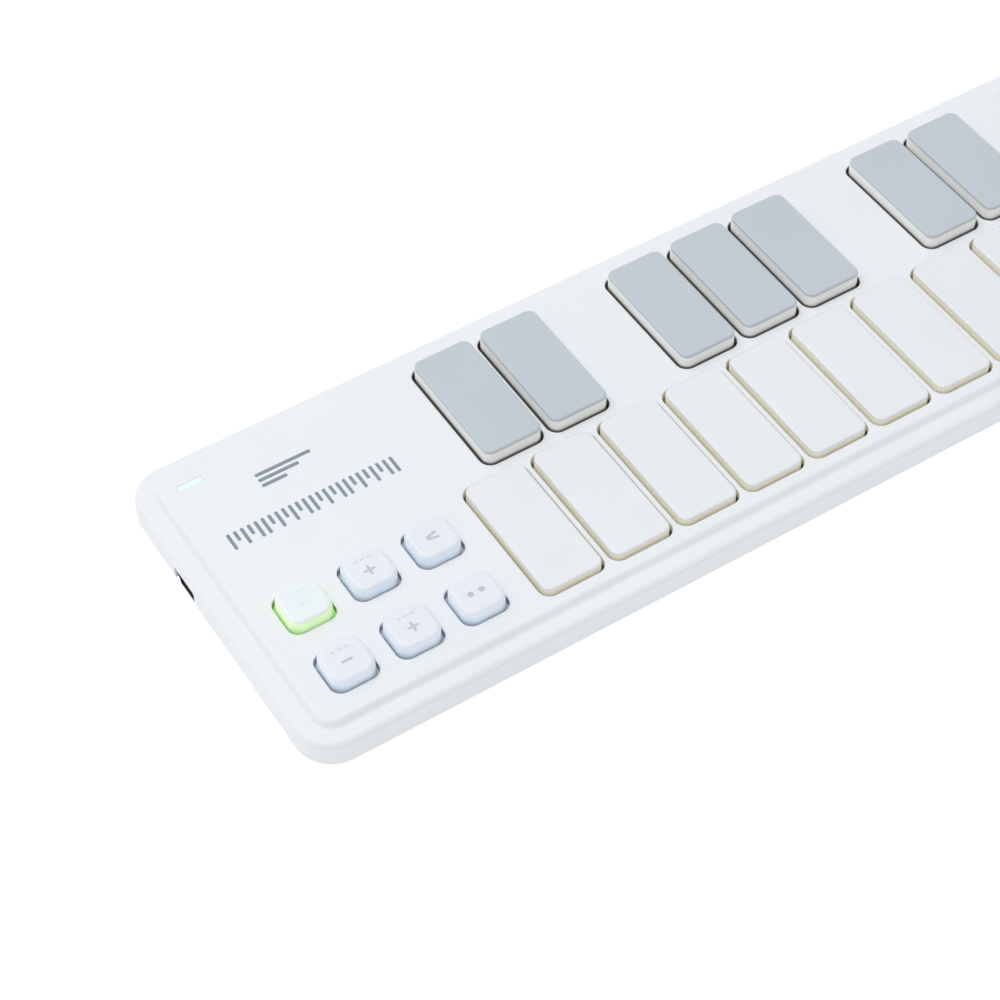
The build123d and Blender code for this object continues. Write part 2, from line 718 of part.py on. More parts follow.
with BuildPart() as frame_screws:
    with Locations(*[(x, y, frame_z) for x, y in frame_screw_places]):
        Cone(screw_head_radius, screw_radius, sunk_head_height,
             align=(Align.CENTER, Align.CENTER, Align.MIN))
        Cylinder(screw_radius, frame_screw_length, align=(Align.CENTER, Align.CENTER, Align.MIN))
    cross_slot(Plane.XY.offset(frame_z), frame_screw_places, 0.5)
save(frame_screws.part, "frame_screws")
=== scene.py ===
from math import cos, pi, radians, sin

import bmesh
import bpy
from bpy.props import FloatProperty, FloatVectorProperty, IntProperty, PointerProperty
from bpy.types import Operator, Panel, PropertyGroup
from mathutils import Matrix, Vector


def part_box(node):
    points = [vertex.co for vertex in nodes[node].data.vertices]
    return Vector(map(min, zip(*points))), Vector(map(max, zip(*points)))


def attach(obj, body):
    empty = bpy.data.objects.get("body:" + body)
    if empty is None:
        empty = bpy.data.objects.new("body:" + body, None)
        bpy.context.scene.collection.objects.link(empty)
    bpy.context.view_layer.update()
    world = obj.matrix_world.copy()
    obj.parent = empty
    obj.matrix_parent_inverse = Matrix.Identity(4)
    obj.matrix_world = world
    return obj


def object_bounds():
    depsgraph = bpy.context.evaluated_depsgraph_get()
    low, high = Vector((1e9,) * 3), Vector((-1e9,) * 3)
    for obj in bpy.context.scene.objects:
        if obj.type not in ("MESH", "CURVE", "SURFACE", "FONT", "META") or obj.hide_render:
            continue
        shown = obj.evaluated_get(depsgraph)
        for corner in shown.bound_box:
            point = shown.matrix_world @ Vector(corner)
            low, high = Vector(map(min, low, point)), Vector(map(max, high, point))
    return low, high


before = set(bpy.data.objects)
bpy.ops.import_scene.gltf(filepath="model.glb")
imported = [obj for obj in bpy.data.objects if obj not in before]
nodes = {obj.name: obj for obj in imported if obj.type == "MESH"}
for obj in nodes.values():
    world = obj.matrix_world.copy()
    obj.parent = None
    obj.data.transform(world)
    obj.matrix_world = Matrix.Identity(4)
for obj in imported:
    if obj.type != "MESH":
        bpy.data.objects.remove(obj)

bl_info = {
    "name": "Slim Music Keyboard",
    "version": (1, 0, 0),
    "blender": (4, 5, 0),
    "location": "3D View > Sidebar > Keyboard",
    "description": "Finishes, printed marks and studio for a slim USB music keyboard",
    "category": "Object",
}

MM = 0.001
CASE_BODY = "case"
LIT_BUTTON = "button_4"

cad_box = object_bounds()
case_low, case_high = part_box("top_case")
panel_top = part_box("power_light_lens")[1].z  # the lens is flush with the panel
button_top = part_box(LIT_BUTTON)[1].z
row_split = (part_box("white_key_01")[1].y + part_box("black_key_01")[0].y) / 2
# Only faces farther in than this from the case's outside count as the wall of a window
window_limit = 6.0 * MM


def numbered(prefix):
    """The frame's nodes whose names are a prefix and a number, in order."""
    return sorted(name for name in nodes
                  if name.startswith(prefix) and name[len(prefix):].isdigit())


def colour_property(label, text, default):
    return FloatVectorProperty(name=label, description=text, default=default, size=3, min=0.0,
                               max=1.0, subtype="COLOR")


def length_property(label, text, default):
    return FloatProperty(name=label, description=text, default=default, min=0.0, unit="LENGTH",
                         subtype="DISTANCE", precision=5)


def factor_property(label, text, default):
    return FloatProperty(name=label, description=text, default=default, min=0.0, max=1.0,
                         subtype="FACTOR")


# ---- What a user may change ------------------------------------------------------------------------


class CaseLook(PropertyGroup):
    """Finish of the case, and the painted shade and painted warm light on its window walls."""
    colour: colour_property("Panel", "Colour of the moulded case", (0.76, 0.785, 0.814))
    shade: colour_property("Panel shade", "Second tone of the case's faint mottling",
                           (0.745, 0.771, 0.803))
    base: colour_property("Base", "Colour of the bottom case", (0.70, 0.74, 0.77))
    # Painted light and shade on the window walls below the panel's top: a warm tan round the white
    # keys where light bounces in the white plastic, and painted shade round the black keys and the
    # buttons
    white_gap_painted_light: colour_property("White key gap", "Window walls around the white keys",
                               (0.80, 0.74, 0.58))
    dark_gap_painted_shade: colour_property("Black key gap", "Window walls around the black keys",
                              (0.20, 0.19, 0.175))
    button_gap_painted_shade: colour_property("Button gap", "Window walls around the buttons",
                                (0.30, 0.32, 0.34))
    roughness: factor_property("Roughness", "Roughness of the fine mould texture", 0.46)
    grain: length_property("Grain", "Size of the mould texture's grain", 0.00022)


class KeyLook(PropertyGroup):
    """Finish of the two rows of keys, with painted glow and painted shade on their sides."""
    white: colour_property("White keys", "Colour of the front row", (0.741, 0.766, 0.796))
    grey: colour_property("Black keys", "Colour of the rear row, which is a cool grey",
                          (0.484, 0.539, 0.588))
    # The sides are painted light: a warm glow on the white keys' sides, a pale glowing side on the
    # black keys above the panel, and painted shade on the black keys' sides inside the window
    white_skirt_glow: colour_property("White skirt", "White key's side, warm where light comes through",
                                 (0.84, 0.80, 0.67))
    grey_side_glow: colour_property("Grey side", "Black key's side above the panel",
                               (0.76, 0.765, 0.75))
    dark_skirt_shade: colour_property("Grey skirt", "Black key's side inside its window",
                                (0.18, 0.17, 0.16))
    # Emission strength of the painted glow in the keys' sides
    through: FloatProperty(name="Light through", description="Light that comes through the sides",
                           default=0.13, min=0.0)
    roughness: factor_property("Roughness", "Roughness of the keys' satin face", 0.34)


class ButtonLook(PropertyGroup):
    """Finish and light of the buttons."""
    top: colour_property("Top", "Colour of a button's face", (0.738, 0.766, 0.821))
    # A button's sides take this colour and also glow with it as painted light, as if light came
    # through the milky plastic
    side: colour_property("Side", "Colour of a button's sides", (0.74, 0.83, 0.93))
    lit_base: colour_property("Lit side", "Colour of the lit button's sides", (0.66, 0.80, 0.52))
    lit_side: colour_property("Lit side glow", "Glow in the lit button's sides", (0.31, 0.45, 0.21))
    lit_gap: colour_property("Lit gap", "Glow deep in the lit button's window",
                             (0.10, 0.42, 0.02))
    glow: FloatProperty(name="Glow", description="Strength of the lit button's light",
                        default=0.62, min=0.0)
    # Strength of that painted glow in the sides of the unlit buttons
    through: FloatProperty(name="Light through", description="Light that comes through the sides",
                           default=0.08, min=0.0)
    roughness: factor_property("Roughness", "Roughness of the milky plastic", 0.30)


class MarkLook(PropertyGroup):
    """Printed marks on the panel and the buttons."""
    ink: colour_property("Panel ink", "Colour of the marks on the panel", (0.19, 0.24, 0.28))
    button_ink: colour_property("Button ink", "Colour of the signs on the buttons",
                                (0.42, 0.46, 0.51))
    faint_ink: colour_property("Faint ink", "Colour of the small dashes on the buttons",
                               (0.54, 0.58, 0.63))
    lit_ink: colour_property("Lit ink", "Colour of the marks on the lit button",
                             (0.62, 0.75, 0.60))
    thickness: length_property("Thickness", "How far the print stands out", 0.00002)
    tick_count: IntProperty(name="Ticks", description="Bars in the long panel mark", default=25,
                            min=2)


class StageLook(PropertyGroup):
    """Floor, light and camera."""
    floor: colour_property("Floor", "Colour of the floor", (0.965, 0.965, 0.965))
    table_light: FloatProperty(name="Table light", description="Light from the floor itself",
                               default=0.15, min=0.0)
    paper_white: FloatProperty(name="Paper white", description="Light that only the camera sees",
                               default=0.35, min=0.0)
    sky: FloatProperty(name="Sky", description="Strength of the light from all round",
                       default=0.73, min=0.0)
    softbox: FloatProperty(name="Softbox", description="Power of the large lamp overhead",
                           default=11.8, min=0.0, unit="POWER")
    azimuth: FloatProperty(name="Azimuth", description="Camera's turn about the upright axis",
                           default=radians(-30.54), subtype="ANGLE")
    elevation: FloatProperty(name="Elevation", description="Camera's height angle",
                             default=radians(50.14), subtype="ANGLE")
    roll: FloatProperty(name="Roll", description="Camera's turn about its own axis",
                        default=radians(-1.99), subtype="ANGLE")
    corner: FloatVectorProperty(
        name="Corner", description="Case's front left corner seen from the camera: right, up, away",
        default=(-0.03547, -0.04914, 0.49008), size=3, unit="LENGTH", subtype="XYZ")
    focal_length: FloatProperty(name="Focal length", description="Lens in millimetres",
                                default=92.58, min=1.0)


# ---- Shader helpers --------------------------------------------------------------------------------


def add(tree, kind, inputs=None, **settings):
    """A node with its settings made and its inputs set or linked."""
    node = tree.nodes.new(kind)
    for key, value in settings.items():
        setattr(node, key, value)
    for key, value in (inputs or {}).items():
        if isinstance(value, bpy.types.NodeSocket):
            tree.links.new(value, node.inputs[key])
        else:
            node.inputs[key].default_value = value
    return node


def rgba(colour):
    return (*colour, 1.0)


def new_finish(name):
    """An empty material with a Principled shader and object coordinates in metres."""
    material = bpy.data.materials.new(name)
    material.use_nodes = True
    tree = material.node_tree
    tree.nodes.clear()
    shader = add(tree, "ShaderNodeBsdfPrincipled")
    add(tree, "ShaderNodeOutputMaterial", {"Surface": shader.outputs["BSDF"]})
    place = add(tree, "ShaderNodeTexCoord").outputs["Object"]
    return material, tree, shader, place


def noise(tree, place, size, detail=2.0, roughness=0.5):
    """A noise pattern with features of about the given size in metres."""
    return add(tree, "ShaderNodeTexNoise",
               {"Vector": place, "Scale": 1.0 / size, "Detail": detail,
                "Roughness": roughness}).outputs["Fac"]


def spread(tree, value, low, high, from_low=0.35, from_high=0.65):
    """A value spread between two limits."""
    return add(tree, "ShaderNodeMapRange",
               {"Value": value, "From Min": from_low, "From Max": from_high, "To Min": low,
                "To Max": high}).outputs["Result"]


def blend_colours(tree, factor, first, second):
    """Two colours, or colour sockets, blended by a factor."""
    mix = add(tree, "ShaderNodeMix", data_type="RGBA")
    for key, value in (("Factor", factor), ("A", first), ("B", second)):
        socket = [s for s in mix.inputs if s.name == key and s.enabled][0]
        if isinstance(value, bpy.types.NodeSocket):
            tree.links.new(value, socket)
        else:
            socket.default_value = rgba(value)
    return [s for s in mix.outputs if s.enabled][0]


def calculate(tree, operation, first, second=None):
    """One math node."""
    node = add(tree, "ShaderNodeMath", operation=operation)
    for socket, value in zip(node.inputs, (first, second)):
        if isinstance(value, bpy.types.NodeSocket):
            tree.links.new(value, socket)
        elif value is not None:
            socket.default_value = value
    return node.outputs["Value"]


def below(tree, place, height, depth):
    """1 well below a height and 0 above it, with a soft change over a depth."""
    z = add(tree, "ShaderNodeSeparateXYZ", {"Vector": place}).outputs["Z"]
    return spread(tree, z, 1.0, 0.0, height - depth, height)


def grain_bump(tree, shader, place, size, height):
    """A fine mould texture over a slow unevenness of the surface."""
    fine = noise(tree, place, size, 3.0, 0.6)
    slow = noise(tree, place, 30 * size, 1.0)
    total = calculate(tree, "ADD", fine, calculate(tree, "MULTIPLY", slow, 2.0))
    bump = add(tree, "ShaderNodeBump", {"Height": total, "Strength": 0.5, "Distance": height})
    tree.links.new(bump.outputs["Normal"], shader.inputs["Normal"])


def moulded(name, colour, shade, roughness, grain, height, soft=0.0):
    """Moulded plastic: faint mottling, handling marks in the gloss, and a fine texture."""
    material, tree, shader, place = new_finish(name)
    mottled = blend_colours(tree, spread(tree, noise(tree, place, 0.03, 3.0), 0.0, 1.0), colour,
                            shade)
    tree.links.new(mottled, shader.inputs["Base Color"])
    marks = calculate(tree, "MULTIPLY", noise(tree, place, 0.011, 4.0, 0.65),
                      noise(tree, place, 0.0016, 2.0))
    gloss = spread(tree, marks, roughness - 0.05, roughness + 0.08, 0.15, 0.4)
    tree.links.new(gloss, shader.inputs["Roughness"])
    shader.inputs["IOR"].default_value = 1.49
    shader.inputs["Subsurface Weight"].default_value = soft
    shader.inputs["Subsurface Radius"].default_value = (1.0, 0.95, 0.85)
    shader.inputs["Subsurface Scale"].default_value = 0.0008
    grain_bump(tree, shader, place, grain, height)
    return material, tree, shader, place, mottled


def metal(name, colour, roughness, size, lengthwise=1.0):
    """Bright metal with fine drawn lines and dull patches."""
    material, tree, shader, place = new_finish(name)
    stretched = add(tree, "ShaderNodeMapping", {"Vector": place,
                                                "Scale": (lengthwise, 1.0, 1.0)}).outputs["Vector"]
    lines = noise(tree, stretched, size, 4.0, 0.7)
    patches = noise(tree, place, 12 * size, 2.0)
    darker = tuple(0.82 * c for c in colour)
    tree.links.new(blend_colours(tree, spread(tree, patches, 0.0, 1.0), colour, darker),
                   shader.inputs["Base Color"])
    tree.links.new(spread(tree, lines, roughness - 0.08, roughness + 0.12),
                   shader.inputs["Roughness"])
    shader.inputs["Metallic"].default_value = 1.0
    bump = add(tree, "ShaderNodeBump", {"Height": lines, "Strength": 0.3, "Distance": 0.00001})
    tree.links.new(bump.outputs["Normal"], shader.inputs["Normal"])
    return material


def finish_nodes(material, node_names):
    """Give CAD nodes a material in place of their plain one."""
    for name in node_names:
        slots = nodes[name].material_slots
        if not slots:
            raise RuntimeError(f"{name} has no material slot")
        for slot in slots:
            slot.material = material


# ---- Finishes --------------------------------------------------------------------------------------


class MIDI_OT_finish_case(Operator):
    """Finish the top and bottom case, with painted shade and painted warm light in the key windows"""
    bl_idname = "midi.finish_case"
    bl_label = "Case"

    def execute(self, context):
        look = context.scene.midi_case
        material, tree, shader, place, mottled = moulded(
            "case_plastic", look.colour, look.shade, look.roughness, look.grain, 0.000012, 0.04)
        axes = add(tree, "ShaderNodeSeparateXYZ", {"Vector": place}).outputs
        # Painted shade and painted light: window walls below the panel's top take the gap colours in
        # place of the plastic's own
        deep = below(tree, place, panel_top - 0.25 * MM, 0.5 * MM)
        for axis, limit in (("X", case_high.x - window_limit), ("Y", case_high.y - window_limit)):
            inside = calculate(tree, "LESS_THAN", calculate(tree, "ABSOLUTE", axes[axis]), limit)
            deep = calculate(tree, "MULTIPLY", deep, inside)
        rear_row = calculate(tree, "GREATER_THAN", axes["Y"], row_split)
        keys_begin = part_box("white_key_01")[0].x - 2 * MM
        among_buttons = calculate(tree, "LESS_THAN", axes["X"], keys_begin)
        gap = blend_colours(tree, rear_row, look.white_gap_painted_light, look.dark_gap_painted_shade)
        gap = blend_colours(tree, among_buttons, gap, look.button_gap_painted_shade)
        tree.links.new(blend_colours(tree, deep, mottled, gap), shader.inputs["Base Color"])
        finish_nodes(material, ["top_case"])
        base = moulded("base_plastic", look.base, tuple(0.97 * c for c in look.base),
                       look.roughness + 0.1, 1.4 * look.grain, 0.00002)[0]
        finish_nodes(base, ["bottom_case"])
        return {"FINISHED"}


class MIDI_OT_finish_keys(Operator):
    """Finish both rows of keys, with painted glow and painted shade on their sides"""
    bl_idname = "midi.finish_keys"
    bl_label = "Keys"

    def execute(self, context):
        look = context.scene.midi_keys
        rows = (("white_key_", "white_key_plastic", look.white, look.white_skirt_glow, look.white_skirt_glow),
                ("black_key_", "grey_key_plastic", look.grey, look.grey_side_glow, look.dark_skirt_shade))
        for prefix, name, colour, side, skirt in rows:
            material, tree, shader, place, mottled = moulded(
                name, colour, tuple(0.975 * c for c in colour), look.roughness, 0.00035, 0.000006,
                0.03)
            key_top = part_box(prefix + "01")[1].z
            # Painted light below the top's edge: the sides take a pale colour that also glows, and
            # the black keys' sides turn to painted shade inside the window
            edge = below(tree, place, key_top - 0.5 * MM, 0.4 * MM)
            deep = below(tree, place, panel_top + 0.1 * MM, 0.5 * MM)
            lower = blend_colours(tree, deep, side, skirt)
            tree.links.new(blend_colours(tree, edge, mottled, lower), shader.inputs["Base Color"])
            tree.links.new(blend_colours(tree, edge, (0.0, 0.0, 0.0), lower),
                           shader.inputs["Emission Color"])
            shader.inputs["Emission Strength"].default_value = look.through
            finish_nodes(material, numbered(prefix))
        return {"FINISHED"}


class MIDI_OT_finish_buttons(Operator):
    """Finish the buttons and light one of them"""
    bl_idname = "midi.finish_buttons"
    bl_label = "Buttons"

    def execute(self, context):
        look = context.scene.midi_buttons
        for lit in (False, True):
            name = "lit_milky_plastic" if lit else "milky_plastic"
            material, tree, shader, place, mottled = moulded(
                name, look.top, tuple(0.99 * c for c in look.top), look.roughness, 0.0003,
                0.0000008, 0.25)
            # Sides below the top take the side colour; on the unlit buttons it also glows there as
            # painted light, as if light came through the milky plastic
            side = below(tree, place, button_top - 0.2 * MM, 0.6 * MM)
            tree.links.new(blend_colours(tree, side, mottled, look.lit_base if lit else look.side),
                           shader.inputs["Base Color"])
            glow = blend_colours(tree, side, (0.0, 0.0, 0.0), look.side)
            strength = look.through
            if lit:
                deep = below(tree, place, panel_top - 0.3 * MM, 0.8 * MM)
                glow = blend_colours(tree, deep, look.lit_side, look.lit_gap)
                glow = blend_colours(tree, side, (0.05, 0.09, 0.03), glow)
                strength = look.glow
            tree.links.new(glow, shader.inputs["Emission Color"])
            shader.inputs["Emission Strength"].default_value = strength
            finish_nodes(material, [n for n in numbered("button_") if (n == LIT_BUTTON) == lit])
        return {"FINISHED"}


class MIDI_OT_finish_inside(Operator):
    """Finish the key frame, rods, circuit board, domes, feet and screws"""
    bl_idname = "midi.finish_inside"
    bl_label = "Inside and underside"

    def execute(self, context):
        frame_plastic = moulded("frame_plastic", (0.42, 0.43, 0.44), (0.38, 0.39, 0.40), 0.5,
                                0.0003, 0.00002)[0]
        finish_nodes(frame_plastic, ["key_frame"])
        silicone = moulded("dome_silicone", (0.62, 0.62, 0.59), (0.56, 0.56, 0.54), 0.62, 0.0004,
                           0.000015, 0.3)[0]
        finish_nodes(silicone, ["white_key_dome_strip", "black_key_dome_strip", "button_dome_pad"])
        rubber = moulded("foot_rubber", (0.045, 0.045, 0.046), (0.06, 0.06, 0.06), 0.8, 0.00025,
                         0.00003)[0]
        finish_nodes(rubber, ["rubber_feet"])
        resin = moulded("chip_resin", (0.02, 0.02, 0.022), (0.03, 0.03, 0.03), 0.6, 0.00012,
                        0.00001)[0]
        finish_nodes(resin, ["microcontroller_chip"])
        finish_nodes(metal("rod_steel", (0.60, 0.61, 0.63), 0.25, 0.0002, 0.02),
                     ["white_key_pivot_rod", "black_key_pivot_rod"])
        finish_nodes(metal("screw_steel", (0.55, 0.55, 0.57), 0.35, 0.0004),
                     ["case_screws", "board_screws", "frame_screws"])
        finish_nodes(metal("can_metal", (0.66, 0.67, 0.69), 0.3, 0.0003), ["clock_crystal"])
        finish_nodes(metal("contact_gold", (0.83, 0.61, 0.25), 0.28, 0.0002),
                     ["switch_contacts", "usb_socket_contacts"])
        self.finish_board()
        return {"FINISHED"}

    def finish_board(self):
        """Green solder mask with copper tracks under it."""
        material, tree, shader, place = new_finish("board_laminate")
        tracks = add(tree, "ShaderNodeTexBrick",
                     {"Vector": place, "Scale": 160.0, "Mortar Size": 0.012,
                      "Color1": rgba((0.020, 0.16, 0.06)), "Color2": rgba((0.026, 0.19, 0.075)),
                      "Mortar": rgba((0.05, 0.30, 0.12))})
        stain = blend_colours(tree, spread(tree, noise(tree, place, 0.02, 3.0), 0.0, 0.25),
                              tracks.outputs["Color"], (0.015, 0.12, 0.05))
        tree.links.new(stain, shader.inputs["Base Color"])
        tree.links.new(spread(tree, noise(tree, place, 0.004), 0.25, 0.4),
                       shader.inputs["Roughness"])
        bump = add(tree, "ShaderNodeBump", {"Height": tracks.outputs["Fac"], "Strength": 0.3,
                                            "Distance": 0.00003})
        tree.links.new(bump.outputs["Normal"], shader.inputs["Normal"])
        finish_nodes(material, ["main_circuit_board"])


class MIDI_OT_finish_socket(Operator):
    """Finish the USB socket"""
    bl_idname = "midi.finish_socket"
    bl_label = "USB socket"

    def execute(self, context):
        finish_nodes(metal("socket_metal", (0.14, 0.14, 0.15), 0.4, 0.0003, 0.1),
                     ["usb_socket_shell"])
        block = moulded("socket_plastic", (0.025, 0.025, 0.026), (0.035, 0.035, 0.035), 0.45,
                        0.00015, 0.00001)[0]
        finish_nodes(block, ["usb_socket_insert"])
        return {"FINISHED"}


class MIDI_OT_finish_lights(Operator):
    """Light the power light's lens and finish the light chips"""
    bl_idname = "midi.finish_lights"
    bl_label = "Lights"

    def execute(self, context):
        material, tree, shader, place = new_finish("lens_plastic")
        shader.inputs["Base Color"].default_value = rgba((0.50, 0.60, 0.62))
        uneven = spread(tree, noise(tree, place, 0.0012, 2.0), 0.0, 1.0)
        glow = blend_colours(tree, uneven, (0.84, 1.0, 1.0), (0.95, 1.0, 1.0))
        tree.links.new(glow, shader.inputs["Emission Color"])
        shader.inputs["Emission Strength"].default_value = 0.33
        tree.links.new(spread(tree, noise(tree, place, 0.0008), 0.12, 0.22),
                       shader.inputs["Roughness"])
        shader.inputs["Coat Weight"].default_value = 0.4
        finish_nodes(material, ["power_light_lens"])
        chip, tree, shader, place = new_finish("light_emitter")
        spot = spread(tree, noise(tree, place, 0.0004), 0.0, 1.0)
        body = blend_colours(tree, spot, (0.85, 0.83, 0.62), (0.78, 0.75, 0.50))
        tree.links.new(body, shader.inputs["Base Color"])
        shader.inputs["Roughness"].default_value = 0.35
        grain_bump(tree, shader, place, 0.0001, 0.00001)
        finish_nodes(chip, ["power_light", "button_lights"])
        return {"FINISHED"}


# ---- Printed marks ---------------------------------------------------------------------------------

ARC_STEPS = 6
OCTAVE = 12
WHITE_NOTES = (0, 2, 4, 5, 7, 9, 11)

# Long scale on the panel, measured from the case's front left corner
SCALE_FIRST = 12.0 * MM
SCALE_LAST = 50.5 * MM
SCALE_MIDDLE = 55.2 * MM
TALL_BAR = 4.6 * MM
SHORT_BAR = 2.8 * MM
SHORT_BAR_SHIFT = 0.9 * MM
BAR_WIDTH = 0.75 * MM
BAR_RADIUS = 0.3 * MM

# Short mark behind it: each stripe's length and its place from the front
STRIPES_LEFT = 24.3 * MM
STRIPE_WIDTH = 0.9 * MM
STRIPE_RADIUS = 0.4 * MM
STRIPES = ((13.2 * MM, 68.2 * MM), (9.6 * MM, 66.6 * MM), (6.0 * MM, 65.0 * MM))

# Signs on the buttons, measured from a button's middle
SIGN_LENGTH = 2.6 * MM
SIGN_WIDTH = 0.5 * MM
SIGN_RADIUS = 0.2 * MM
SIGN_FORWARD = 0.6 * MM
UPRIGHT_LENGTH = 1.06 * MM  # each half of a plus's upright bar
DASH_LENGTH = 0.9 * MM
DASH_WIDTH = 0.4 * MM
DASH_RADIUS = 0.18 * MM
DASH_PITCH = 1.5 * MM
DASH_BACK = 2.5 * MM
SLOPE_SPACE = 0.5 * MM
SLOPE_TURN = radians(12)
DOT_SIZE = 1.3 * MM
DOT_RADIUS = 0.6 * MM


def rounded_outline(width, depth, radius):
    """Corner points of a rounded rectangle about the origin, anticlockwise."""
    points = []
    for quarter in range(4):
        corner_x = (width / 2 - radius) * (1 if quarter in (0, 3) else -1)
        corner_y = (depth / 2 - radius) * (1 if quarter in (0, 1) else -1)
        for step in range(ARC_STEPS + 1):
            angle = (quarter + step / ARC_STEPS) * pi / 2
            points.append((corner_x + radius * cos(angle), corner_y + radius * sin(angle)))
    return points


def print_shape(mesh, outline, x, y, z, thickness, turn=0.0):
    """Add one closed, slightly domed patch of ink to a mesh."""
    layers = []
    for height, share in ((-0.5 * thickness, 1.0), (0.6 * thickness, 1.0), (thickness, 0.94)):
        ring = []
        for px, py in outline:
            rx = px * cos(turn) - py * sin(turn)
            ry = px * sin(turn) + py * cos(turn)
            ring.append(mesh.verts.new((x + rx * share, y + ry * share, z + height)))
        layers.append(ring)
    mesh.faces.new(reversed(layers[0]))
    mesh.faces.new(layers[-1])
    for lower, upper in zip(layers, layers[1:]):
        for i in range(len(lower)):
            j = (i + 1) % len(lower)
            mesh.faces.new((lower[i], lower[j], upper[j], upper[i]))


def print_piece(name, shapes, z, body, material, thickness):
    """One piece of print: a list of (outline, x, y, turn) patches on one body."""
    mesh = bmesh.new()
    for outline, x, y, turn in shapes:
        print_shape(mesh, outline, x, y, z, thickness, turn)
    bmesh.ops.recalc_face_normals(mesh, faces=mesh.faces)
    data = bpy.data.meshes.new(name)
    mesh.to_mesh(data)
    mesh.free()
    piece = bpy.data.objects.new(name, data)
    bpy.context.scene.collection.objects.link(piece)
    data.materials.append(material)
    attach(piece, body)
    return piece


def ink(name, colour):
    """Screen-printed ink: uneven cover and a rough dry edge."""
    material, tree, shader, place = new_finish(name)
    cover = spread(tree, noise(tree, place, 0.0005, 4.0, 0.7), 0.0, 1.0)
    lighter = tuple(min(1.0, 1.18 * c) for c in colour)
    tree.links.new(blend_colours(tree, cover, colour, lighter), shader.inputs["Base Color"])
    tree.links.new(spread(tree, noise(tree, place, 0.002), 0.5, 0.65), shader.inputs["Roughness"])
    bump = add(tree, "ShaderNodeBump", {"Height": cover, "Strength": 0.3, "Distance": 0.000005})
    tree.links.new(bump.outputs["Normal"], shader.inputs["Normal"])
    return material


class MIDI_OT_print_marks(Operator):
    """Print generic marks on the panel and symbols on the buttons"""
    bl_idname = "midi.print_marks"
    bl_label = "Printed marks"

    def execute(self, context):
        look = context.scene.midi_marks
        panel_ink = ink("panel_ink", look.ink)
        button_ink = ink("button_ink", look.button_ink)
        faint_ink = ink("faint_button_ink", look.faint_ink)
        lit_ink = ink("lit_button_ink", look.lit_ink)
        corner_x, corner_y = case_low.x, case_low.y
        # A long scale of bars, one for each key, and a short mark of three bars behind it
        bars = []
        for i in range(look.tick_count):
            tall = i % OCTAVE in WHITE_NOTES
            height = TALL_BAR if tall else SHORT_BAR
            x = corner_x + SCALE_FIRST + (SCALE_LAST - SCALE_FIRST) * i / (look.tick_count - 1)
            y = corner_y + SCALE_MIDDLE + (0 if tall else SHORT_BAR_SHIFT)
            bars.append((rounded_outline(BAR_WIDTH, height, BAR_RADIUS), x, y, 0.0))
        print_piece("panel_scale_mark", bars, panel_top, CASE_BODY, panel_ink, look.thickness)
        stripes = [(rounded_outline(length, STRIPE_WIDTH, STRIPE_RADIUS),
                    corner_x + STRIPES_LEFT + length / 2, corner_y + place, 0.0)
                   for length, place in STRIPES]
        print_piece("panel_stripe_mark", stripes, panel_top, CASE_BODY, panel_ink,
                    look.thickness)
        for name in numbered("button_"):
            inks = (lit_ink, lit_ink) if name == LIT_BUTTON else (button_ink, faint_ink)
            self.print_button(name, inks, look.thickness)
        return {"FINISHED"}

    def print_button(self, name, inks, thickness):
        """A minus in the left column, a plus in the middle one, plain symbols in the right one."""
        low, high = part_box(name)
        x, y = (low.x + high.x) / 2, (low.y + high.y) / 2
        number = int(name[len("button_"):]) - 1
        column, row = number % 3, number // 3
        bar = rounded_outline(SIGN_LENGTH, SIGN_WIDTH, SIGN_RADIUS)
        if column < 2:
            dash = rounded_outline(DASH_LENGTH, DASH_WIDTH, DASH_RADIUS)
            dashes = [(dash, x + step * DASH_PITCH, y + DASH_BACK, 0.0) for step in (-1, 0, 1)]
            print_piece(f"{name}_dashes", dashes, high.z, name, inks[1], thickness)
            symbols = [(bar, x, y - SIGN_FORWARD, 0.0)]
            if column == 1:
                upright = rounded_outline(SIGN_WIDTH, UPRIGHT_LENGTH, SIGN_RADIUS)
                shift = (SIGN_WIDTH + UPRIGHT_LENGTH) / 2
                symbols += [(upright, x, y - SIGN_FORWARD + side * shift, 0.0) for side in (-1, 1)]
        elif row == 1:
            symbols = [(bar, x, y + SLOPE_SPACE * step, SLOPE_TURN * step) for step in (-1, 1)]
        else:
            dot = rounded_outline(DOT_SIZE, DOT_SIZE, DOT_RADIUS)
            symbols = [(dot, x + side * DOT_SIZE, y, 0.0) for side in (-1, 1)]
        print_piece(f"{name}_mark", symbols, high.z, name, inks[0], thickness)


# ---- Stage -----------------------------------------------------------------------------------------

FLOOR_RADIUS = 4.0
LAMP_SIZE = 1.4
LAMP_PLACE = (-0.35, 0.45, 1.45)
SENSOR_WIDTH = 36.0  # millimetres


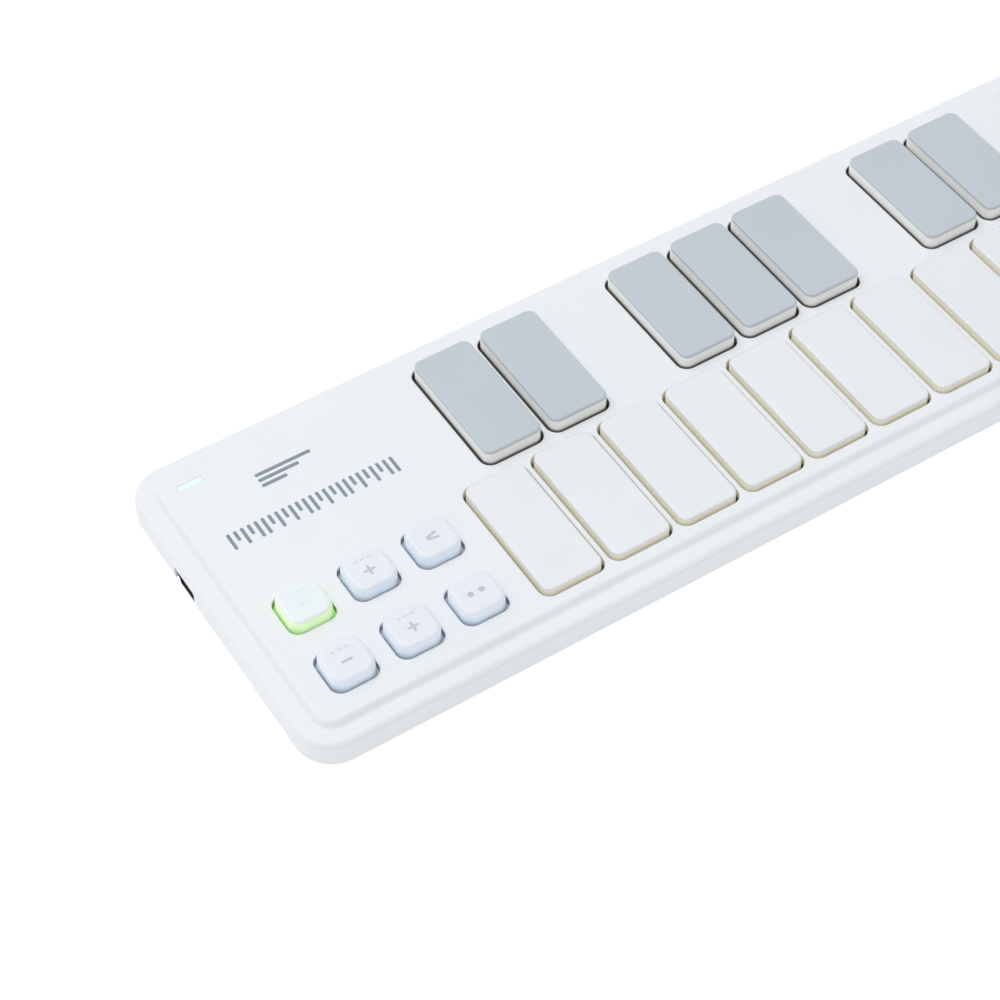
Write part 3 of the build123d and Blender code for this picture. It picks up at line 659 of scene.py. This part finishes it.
class MIDI_OT_set_stage(Operator):
    """Lay the floor and set the light and the camera"""
    bl_idname = "midi.set_stage"
    bl_label = "Stage"

    def execute(self, context):
        look = context.scene.midi_stage
        self.lay_floor(look)
        self.set_light(context.scene, look)
        self.set_camera(context.scene, look)
        return {"FINISHED"}

    def lay_floor(self, look):
        mesh = bmesh.new()
        bmesh.ops.create_circle(mesh, cap_ends=True, segments=96, radius=FLOOR_RADIUS)
        data = bpy.data.meshes.new("floor")
        mesh.to_mesh(data)
        mesh.free()
        floor = bpy.data.objects.new("floor", data)
        floor.location.z = cad_box[0][2]
        bpy.context.scene.collection.objects.link(floor)
        material, tree, shader, place = new_finish("floor_paper")
        tree.links.new(blend_colours(tree, noise(tree, place, 0.15, 2.0), look.floor,
                                     tuple(0.995 * c for c in look.floor)),
                       shader.inputs["Base Color"])
        shader.inputs["Roughness"].default_value = 0.9
        shader.inputs["Emission Color"].default_value = rgba((1.0, 1.0, 1.0))
        # Only the camera sees most of this light, which keeps the paper white under the case
        seen = add(tree, "ShaderNodeLightPath").outputs["Is Camera Ray"]
        extra = calculate(tree, "MULTIPLY", seen, look.paper_white)
        tree.links.new(calculate(tree, "ADD", extra, look.table_light),
                       shader.inputs["Emission Strength"])
        shader.inputs["Specular IOR Level"].default_value = 0.1
        data.materials.append(material)

    def set_light(self, scene, look):
        world = bpy.data.worlds.new("studio")
        world.use_nodes = True
        background = world.node_tree.nodes["Background"]
        background.inputs["Color"].default_value = rgba((1.0, 1.0, 1.0))
        background.inputs["Strength"].default_value = look.sky
        scene.world = world
        scene.view_settings.view_transform = "Standard"
        lamp = bpy.data.lights.new("softbox", "AREA")
        lamp.shape = "SQUARE"
        lamp.size = LAMP_SIZE
        lamp.energy = look.softbox
        softbox = bpy.data.objects.new("softbox", lamp)
        softbox.location = LAMP_PLACE
        aim = -softbox.location
        softbox.rotation_euler = aim.to_track_quat("-Z", "Y").to_euler()
        scene.collection.objects.link(softbox)

    def set_camera(self, scene, look):
        turn, height, roll = -look.azimuth, look.elevation, look.roll
        back = Vector((-sin(turn) * cos(height), -cos(turn) * cos(height), sin(height)))
        level = Vector((cos(turn), -sin(turn), 0.0))
        upward = back.cross(level)
        right = level * cos(roll) + upward * sin(roll)
        up = upward * cos(roll) - level * sin(roll)
        corner = Vector((case_low.x, case_low.y, panel_top))
        place = corner - right * look.corner[0] - up * look.corner[1] + back * look.corner[2]
        data = bpy.data.cameras.new("camera")
        data.sensor_width = SENSOR_WIDTH
        data.lens = look.focal_length
        data.clip_start = 0.01
        camera = bpy.data.objects.new("camera", data)
        axes = Matrix((right, up, back)).transposed()
        camera.matrix_world = Matrix.Translation(place) @ axes.to_4x4()
        scene.collection.objects.link(camera)
        scene.camera = camera


# ---- Panel, registration and the run ---------------------------------------------------------------

STEPS = (MIDI_OT_finish_case, MIDI_OT_finish_keys, MIDI_OT_finish_buttons, MIDI_OT_finish_inside,
         MIDI_OT_finish_socket, MIDI_OT_finish_lights, MIDI_OT_print_marks, MIDI_OT_set_stage)
LOOKS = {"midi_case": CaseLook, "midi_keys": KeyLook, "midi_buttons": ButtonLook,
         "midi_marks": MarkLook, "midi_stage": StageLook}


class MIDI_PT_keyboard(Panel):
    """Sidebar panel with every step and its settings"""
    bl_idname = "MIDI_PT_keyboard"
    bl_label = "Music Keyboard"
    bl_space_type = "VIEW_3D"
    bl_region_type = "UI"
    bl_category = "Keyboard"

    def draw(self, context):
        for step in STEPS:
            self.layout.operator(step.bl_idname)
        for key in LOOKS:
            settings = getattr(context.scene, key)
            box = self.layout.box()
            for name in settings.__annotations__:
                box.prop(settings, name)


def register():
    for cls in (*LOOKS.values(), *STEPS, MIDI_PT_keyboard):
        bpy.utils.register_class(cls)
    for key, look in LOOKS.items():
        setattr(bpy.types.Scene, key, PointerProperty(type=look))


def unregister():
    for key in LOOKS:
        delattr(bpy.types.Scene, key)
    for cls in (MIDI_PT_keyboard, *reversed(STEPS), *LOOKS.values()):
        bpy.utils.unregister_class(cls)


def main():
    register()
    bpy.ops.midi.finish_case()
    bpy.ops.midi.finish_keys()
    bpy.ops.midi.finish_buttons()
    bpy.ops.midi.finish_inside()
    bpy.ops.midi.finish_socket()
    bpy.ops.midi.finish_lights()
    bpy.ops.midi.print_marks()
    bpy.ops.midi.set_stage()


if __name__ == "__main__":
    main()
